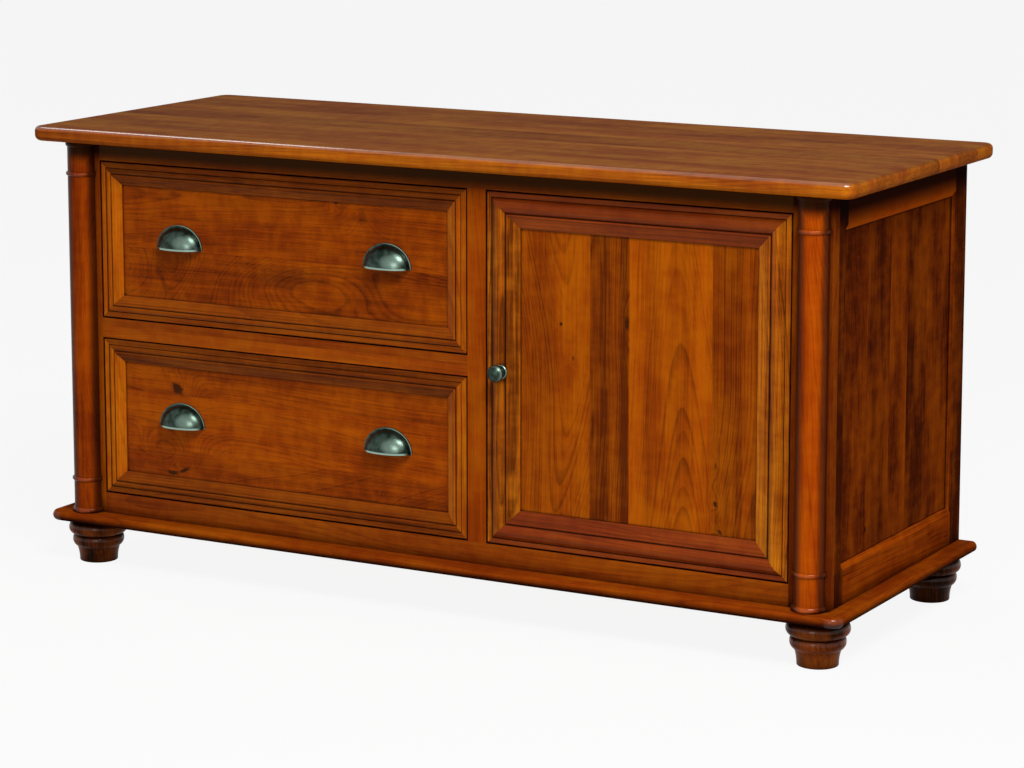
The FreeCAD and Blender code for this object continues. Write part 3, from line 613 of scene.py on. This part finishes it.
def screw_heads(name, body, material, radius, rise, places):
    """Round-headed screws with a cross recess, facing the back, as one piece."""
    turn = Vector((0, 1, 0)).to_track_quat("Z", "Y").to_matrix().to_4x4()
    steps, sectors, roundness = 7, 32, 2.6
    cross_width, cross_length, cross_floor = 0.11, 0.58, 0.35
    first_turn, further_turn = 0.7, 1.9
    work = bmesh.new()
    for count, place in enumerate(places):
        spin = Matrix.Rotation(first_turn + further_turn * count, 4, "Z")
        seat = Matrix.Translation(Vector(place)) @ turn @ spin
        rows = []
        for step in range(steps + 1):
            out = radius * (step / steps)
            lift = rise * math.sqrt(max(0.0, 1.0 - (out / radius) ** roundness))
            row = []
            for sector in range(sectors if step else 1):
                angle = 2 * math.pi * sector / sectors
                x, y = out * math.cos(angle), out * math.sin(angle)
                in_cross = (min(abs(x), abs(y)) < radius * cross_width
                            and max(abs(x), abs(y)) < radius * cross_length)
                z = lift * (cross_floor if in_cross else 1.0)
                row.append(work.verts.new(seat @ Vector((x, y, z))))
            rows.append(row)
        for sector in range(sectors):
            after = (sector + 1) % sectors
            work.faces.new((rows[0][0], rows[1][sector], rows[1][after]))
            for inner, outer in zip(rows[1:], rows[2:]):
                work.faces.new((inner[sector], outer[sector], outer[after], inner[after]))
        work.faces.new(list(reversed(rows[-1])))
    piece = bpy.data.objects.new(name, bpy.data.meshes.new(name))
    work.to_mesh(piece.data)
    work.free()
    for face in piece.data.polygons:
        face.use_smooth = len(face.vertices) < 5
    piece.data.materials.append(material)
    bpy.context.scene.collection.objects.link(piece)
    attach(piece, body)


zinc = metal("zinc_plate", stain(196, 198, 202), stain(146, 149, 154), smooth=0.22, rough=0.42)
screw_inset, screw_columns = 0.012, 8
screw_left, screw_right = back_low.x + screw_inset, back_high.x - screw_inset
back_screws = []
for column in range(screw_columns):
    x = screw_left + (screw_right - screw_left) * column / (screw_columns - 1)
    back_screws += [(x, back_high.y, z) for z in (back_low.z + screw_inset, back_high.z - screw_inset)]
for part in (0.26, 0.5, 0.74):
    z = back_low.z + (back_high.z - back_low.z) * part
    back_screws += [(x, back_high.y, z) for x in (screw_left, screw_right)]
screw_heads("back_panel_screws", "root", zinc, radius=0.0038, rise=0.0016,
            places=back_screws)

# ---- drawer boxes
# Each box has four hardwood walls, the two ends set between the sides, a plywood bottom in a groove,
# and two aluminium rails that hanging files hook over.
dress(inside_board("box_wall_boards", ("XY", "Z", "Y"), ((0.1, 0.40), (0.41, 0.46), (0.8, 0.5))),
      "upper_drawer_box_walls", "lower_drawer_box_walls")
dress(stained_wood("box_bottom_plywood", ("Y", "X", "Z"), 0.0, stain(186, 134, 82), stain(132, 86, 46),
                   ((-1.0, 0.5), (1.0, 0.5)), ring=0.007, pith=0.03, marks=plain_marks,
                   tint=(1, 1, 1, 1), lacquer=0.0),
      "upper_drawer_box_bottom", "lower_drawer_box_bottom")
dress(metal("drawn_aluminium", stain(212, 212, 214), stain(176, 176, 180), smooth=0.28, rough=0.45),
      "upper_drawer_file_rails", "lower_drawer_file_rails")
sand_edges(0.0008, "upper_drawer_file_rails", "lower_drawer_file_rails")

# ---- drawer slides
# Three-part ball-bearing slides in rolled and plated steel. The case member is screwed to the packers
# and the partition, the drawer member to the box, and the middle one runs on ball strips between them.
dress(zinc, "slide_outers", "upper_slide_middles", "lower_slide_middles", "upper_slide_inners",
      "lower_slide_inners")

# ---- drawer fronts
# A flat cherry panel held in four moulded strips, mitred at the corners: a rounded edge, a quirk, a
# shallow swell, a bead and three reeds. The dark glaze stays in every quirk, and painted shade deepens
# the quirks and the gaps round the front.
stile_light, stile_dark = stain(196, 100, 12), stain(112, 48, 5)
rail_light, rail_dark = stain(148, 66, 9), stain(66, 26, 4)
stile_cherry = stained_wood("drawer_stile_cherry", ("Z", "X", "Y"), front_face, stile_light, stile_dark,
                            ((-0.8, 0.40), (-0.3, 0.54), (0.3, 0.5)), glaze_and_shade=1.0)
rail_cherry = stained_wood("drawer_rail_cherry", ("X", "Z", "Y"), front_face, rail_light, rail_dark,
                           ((0.0, 0.5), (0.2, 0.62), (0.42, 0.40), (0.6, 0.62), (0.8, 0.5)), glaze_and_shade=1.0)
drawer_knots = ((-0.178, 0.667, 0.004, 1.0, 20, 0.7), (-0.127, 0.645, 0.008, 0.35, 80, 0.5),
                (-0.535, 0.522, 0.006, 0.35, 70, 0.6), (-0.500, 0.324, 0.009, 1.0, 32, 0.6),
                (-0.512, 0.176, 0.004, 1.0, 0, 0.3), (-0.488, 0.183, 0.0035, 1.0, -24, 0.25),
                (-0.525, 0.200, 0.016, 0.0, 0, 0.6), (-0.110, 0.168, 0.006, 0.35, 0, 0.6),
                (-0.275, 0.532, 0.020, 0.35, 0, 0.28))
drawer_boards = ((0.0, 0.56), (0.215, 0.42, 0.19, 0.3), (0.31, 0.54, 0.3, 0.15),
                 (0.42, 0.60, 0.530, 1.0), (0.560, 0.52, 0.66, 0.12), (0.8, 0.5))
panel_cherry = stained_wood("drawer_panel_cherry", ("X", "Z", "Y"), front_face, stain(172, 73, 2),
                            stain(84, 30, 2), drawer_boards, pith=0.02, taper=0.22, knots=drawer_knots,
                            marks={"Streak Mark": 0.2, "Ring Mark": 0.26, "Curl Mark": 0.24}, glaze_and_shade=1.0)
for drawer in ("upper_drawer", "lower_drawer"):
    dress(stile_cherry, drawer + "_front_stiles")
    dress(rail_cherry, drawer + "_front_rails")
    dress(panel_cherry, drawer + "_front_panel")

# ---- cup pulls
# Cast half-dome pulls with a rim and a rolled lip, in an antique pewter finish: blackened, then rubbed
# back to bright metal on the lip and rim, with a highlight painted over the crown of each dome. Two
# machine screws each come through from inside the drawer.
pewter_bright, pewter_dark = stain(150, 176, 160), stain(14, 27, 21)
pull_half_width, pull_screw_aside, pull_screw_rise = 0.046, 0.032, 0.011
box_wall = 0.012


def pull_wear_and_highlight(low, high):
    """Where one drawer's pulls are rubbed bright along the lip and round the rim, with a painted
    highlight over the crown and on the right of the rim, and a faint painted reflection lighter in the
    middle of the dome.
    """
    height, depth = high.z - low.z, high.y - low.y
    apart = (high.x - low.x) / 2 - pull_half_width

    def wear_and_highlight(tree):
        # On each pull x runs from -1 to 1 across it, and z from 0 at the lip to 1 at the top.
        spot = coordinates(tree)
        aside = reckon(tree, "SUBTRACT", spot[0], (low.x + high.x) / 2)
        aside = reckon(tree, "SUBTRACT", aside, product(tree, reckon(tree, "SIGN", aside), apart))
        x = reckon(tree, "DIVIDE", aside, pull_half_width)
        z = reckon(tree, "DIVIDE", reckon(tree, "SUBTRACT", spot[2], low.z), height)
        out = hypotenuse(tree, x, z)
        # The rim is rubbed bright, and painted brighter towards its right side as a painted highlight.
        rim = product(tree, eased(tree, out, 0.955, 0.985), eased(tree, x, -0.4, 0.6, 0.15, 0.95))
        lip = product(tree, eased(tree, z, 0.09, 0.06),
                      eased(tree, spot[1], high.y - depth * 0.3, high.y - depth * 0.6))
        # A painted highlight over the crown, right of the middle and low on the dome.
        off_crown = [product(tree, total(tree, place, -middle), narrowness)
                     for place, middle, narrowness in ((x, 0.38, 2.1), (z, 0.32, 2.7))]
        crown = eased(tree, total(tree, *(product(tree, way, way) for way in off_crown)),
                      1.0, 0.0, 0.0, 0.36)
        # The middle of the dome is painted a little lighter than near the rim, as a painted reflection.
        dome = eased(tree, out, 0.84, 0.35, 0.0, 0.03)
        return greatest(tree, product(tree, greatest(tree, rim, lip), 0.9), total(tree, dome, crown))
    return wear_and_highlight


for drawer in ("upper_drawer", "lower_drawer"):
    low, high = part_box(drawer + "_pulls")
    dress(metal(drawer + "_pewter", pewter_bright, pewter_dark, smooth=0.2, rough=0.32,
                bump_depth=0.0003, wear_and_highlight=pull_wear_and_highlight(low, high), patina=0.86),
          drawer + "_pulls")
    wall_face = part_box(drawer + "_box_walls")[0].y + box_wall
    screw_heads(drawer + "_pull_screws", drawer, zinc, radius=0.0042, rise=0.0022,
                places=[(x + side * pull_screw_aside, wall_face, low.z + pull_screw_rise)
                        for x in (low.x + pull_half_width, high.x - pull_half_width)
                        for side in (-1, 1)])

# ---- door
# A flat panel glued up from four boards, in a mitred frame of broad strips: a rounded edge, a quirk, a
# full swell, a bead and three reeds. Gold stiles and redder rails come from different boards.
dress(stained_wood("door_stile_cherry", ("Z", "X", "Y"), front_face, stain(196, 104, 18),
                   stain(92, 42, 5), ((0.1, 0.68), (0.3, 0.48), (0.7, 0.5)),
                   marks={"Streak Mark": 0.4, "Curl Mark": 0.25, "Ring Mark": 0.35}, glaze_and_shade=1.0),
      "door_stile_left", "door_stile_right")
dress(stained_wood("door_rail_cherry", ("X", "Z", "Y"), front_face, stain(146, 58, 14), stain(76, 27, 7),
                   ((0.1, 0.45), (0.4, 0.5), (0.8, 0.5)), glaze_and_shade=1.0, lacquer=0.08),
      "door_rail_top", "door_rail_bottom")
door_boards = ((0.15, 0.47, 0.2475, -1.0), (0.2936, 0.83, 0.30, 0.2), (0.3630, 0.37, 0.455, 1.0),
               (0.5077, 0.64, 0.575, 0.15), (0.6, 0.5))
door_bands = ((0.17, 0.03), (0.215, 0.06), (0.25, -0.04), (0.2935, -0.06), (0.2937, 0.0),
              (0.326, 0.03), (0.335, -0.24), (0.345, -0.18), (0.351, 0.1), (0.3629, 0.08),
              (0.3631, -0.24), (0.385, -0.12), (0.395, 0.06), (0.43, 0.0), (0.46, 0.08),
              (0.488, -0.14), (0.5076, -0.04), (0.51, 0.02), (0.55, 0.08), (0.572, -0.1), (0.59, 0.02))
dress(stained_wood("door_panel_cherry", ("Z", "X", "Y"), front_face, stain(172, 78, 3), stain(82, 29, 2),
                   door_boards, pith=0.02, taper=0.1, glaze_and_shade=1.0, bands=door_bands,
                   marks={"Curl Mark": 0.16, "Ring Mark": 0.36},
                   knots=((0.5005, 0.242, 0.003, 1.0, 0, 0.8), (0.512, 0.3595, 0.004, 0.9, 0, 0.3),
                          (0.239, 0.516, 0.0035, 1.0, 20, 0.6), (0.4475, 0.264, 0.0025, 0.6, 0, 0.5),
                          (0.195, 0.524, 0.003, 0.9, 50, 0.5), (0.300, 0.516, 0.0025, 0.6, 0, 0.4))),
      "door_panel")

# ---- door knob
# A turned pewter knob on a rosette, blackened and rubbed like the pulls, with its post let into the
# stile. It is held by one screw from inside the door.
knob_low, knob_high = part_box("door_knob")
knob_front, stile_front = knob_low.y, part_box("door_stile_left")[0].y
cup_low, cup_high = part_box("hinge_cups")
cup_flange = 0.0012
door_back = cup_high.y - cup_flange


def knob_wear(tree):
    """The knob is rubbed bright round its crown and on the edge of the rosette."""
    y = coordinates(tree)[1]
    crown = eased(tree, y, knob_front + 0.0085, knob_front + 0.006, 0.0, 0.04)
    rim = product(tree, eased(tree, y, knob_front + 0.004, knob_front + 0.007),
                  eased(tree, y, knob_front + 0.0095, knob_front + 0.0075, 0.0, 0.45))
    rosette = eased(tree, y, stile_front - 0.0035, stile_front - 0.002, 0.0, 0.6)
    return total(tree, crown, rim, rosette)


dress(metal("knob_pewter", pewter_bright, pewter_dark, smooth=0.25, rough=0.4, bump_depth=0.0002,
            wear_and_highlight=knob_wear, patina=0.88),
      "door_knob")
screw_heads("knob_screw", "door", zinc, radius=0.0042, rise=0.0022,
            places=[((knob_low.x + knob_high.x) / 2, door_back, (knob_low.z + knob_high.z) / 2)])

# ---- concealed hinges
# A pressed cup let into the back of the door, and a cranked arm from its plate on the hinge post. Both
# are nickel-plated steel, held by countersunk screws.
dress(nickel, "hinge_cups", "hinge_arms")
cup_half_height, cup_screw_aside = 0.0285, 0.0225
cup_x = (cup_low.x + cup_high.x) / 2
screw_heads("hinge_cup_screws", "door", nickel, radius=0.0034, rise=0.0012,
            places=[(cup_x, cup_high.y, z + side * cup_screw_aside)
                    for z in (cup_low.z + cup_half_height, cup_high.z - cup_half_height)
                    for side in (-1, 1)])

# ---- magnetic catch
# A brown plastic case on the partition holds a magnet between two steel poles. It pulls on a
# nickel-plated disc screwed to the back of the door.


def moulded_plastic(name, light, dark):
    """Moulded plastic with a fine spark-eroded grain."""
    material = bpy.data.materials.new(name)
    material.use_nodes = True
    tree = material.node_tree
    spot = add(tree, "TexCoord", {}).outputs["Object"]
    grain = mottle(tree, spot, (1400.0, 1400.0, 1400.0))
    cast = mottle(tree, spot, (60.0, 60.0, 60.0))
    bump = add(tree, "Bump", {"Height": grain, "Strength": 0.3, "Distance": 0.0001})
    fill(tree, tree.nodes["Principled BSDF"], {
        "Base Color": laid_over(tree, cast, light, dark), "Normal": bump.outputs[0],
        "Roughness": eased(tree, grain, 0.3, 0.7, 0.42, 0.58)})
    return material


dress(moulded_plastic("catch_brown_plastic", stain(106, 70, 48), stain(84, 54, 36)), "door_catch")
dress(nickel, "catch_strike")
strike_low, strike_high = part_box("catch_strike")
screw_heads("strike_screw", "door", nickel, radius=0.003, rise=0.0002,
            places=[((strike_low.x + strike_high.x) / 2, strike_high.y,
                     (strike_low.z + strike_high.z) / 2)])

# ---- floor, lamps and camera
# A pale paper floor, a soft box in front to the right, a low one in front, a high one on the left, and
# a view from the front right, a little above the top.


def shown_plainly(tree):
    """One where a ray shows the surroundings, and nought where it only lights the object."""
    path = add(tree, "LightPath", {}).outputs
    shown = total(tree, path["Is Camera Ray"], path["Is Glossy Ray"], path["Is Transmission Ray"])
    return reckon(tree, "MINIMUM", shown, 1.0)


floor = bpy.data.objects.new("floor", bpy.data.meshes.new("floor"))
bpy.context.scene.collection.objects.link(floor)
disc = bmesh.new()
bmesh.ops.create_circle(disc, cap_ends=True, segments=96, radius=30.0)
disc.to_mesh(floor.data)
disc.free()
floor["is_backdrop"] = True
paper = bpy.data.materials.new("floor_paper")
paper.use_nodes = True
tree = paper.node_tree
fibres = mottle(tree, add(tree, "TexCoord", {}).outputs["Object"], (900.0, 900.0, 900.0))
sheet = fill(tree, tree.nodes["Principled BSDF"], {
    "Base Color": laid_over(tree, fibres, (0.60, 0.60, 0.60, 1), (0.66, 0.66, 0.66, 1)),
    "Roughness": 1.0, "Specular IOR Level": 0.0})
glow = add(tree, "Emission", {"Color": (1, 1, 1, 1), "Strength": 1.0})
glow_share = 0.90
paper_look = add(tree, "MixShader", {0: product(tree, shown_plainly(tree), glow_share),
                                     1: sheet.outputs[0], 2: glow.outputs[0]})
tree.links.new(paper_look.outputs[0], tree.nodes["Material Output"].inputs["Surface"])
floor.data.materials.append(paper)

world = bpy.data.worlds.new("studio")
bpy.context.scene.world = world
world.use_nodes = True
tree = world.node_tree
sky_level = 0.17
strength = total(tree, product(tree, shown_plainly(tree), 1.0 - sky_level), sky_level)
fill(tree, tree.nodes["Background"], {"Color": (1, 1, 1, 1), "Strength": strength})


def seen_from(thing, azimuth, elevation, distance, target):
    """Put a lamp or a camera at a side and a height, in degrees, and turn it to its target."""
    side, rise = math.radians(azimuth), math.radians(elevation)
    away = Vector((math.sin(side) * math.cos(rise), -math.cos(side) * math.cos(rise), math.sin(rise)))
    thing.location = target + away * distance
    thing.rotation_euler = (-away).to_track_quat("-Z", "Y").to_euler()
    bpy.context.scene.collection.objects.link(thing)


for name, azimuth, elevation, distance, width, height, power in (
        ("front_box", 45, 46, 4.6, 2.0, 1.5, 192), ("low_box", 12, 11, 4.6, 1.4, 0.9, 28),
        ("left_box", -94, 53, 4.56, 1.2, 0.9, 30)):
    lamp = bpy.data.lights.new(name, "AREA")
    lamp.shape = "RECTANGLE"
    lamp.size, lamp.size_y = width, height
    lamp.energy = power
    seen_from(bpy.data.objects.new(name, lamp), azimuth, elevation, distance, Vector((0.0, 0.0, 0.4)))

picture_width, picture_height = 1024, 768
lens_pixels, axis_row = 3315.102, 284
camera = bpy.data.objects.new("camera", bpy.data.cameras.new("camera"))
seen_from(camera, azimuth=29.247, elevation=9.41, distance=5.283246,
          target=Vector((0.158232, front_face, 0.559269)))
camera.data.sensor_width = 36.0
camera.data.lens = lens_pixels / picture_width * camera.data.sensor_width
camera.data.shift_y = (axis_row - picture_height / 2) / picture_width
camera.data.clip_end = 100.0
bpy.context.scene.camera = camera
bpy.context.scene.view_settings.view_transform = "Standard"

low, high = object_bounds()
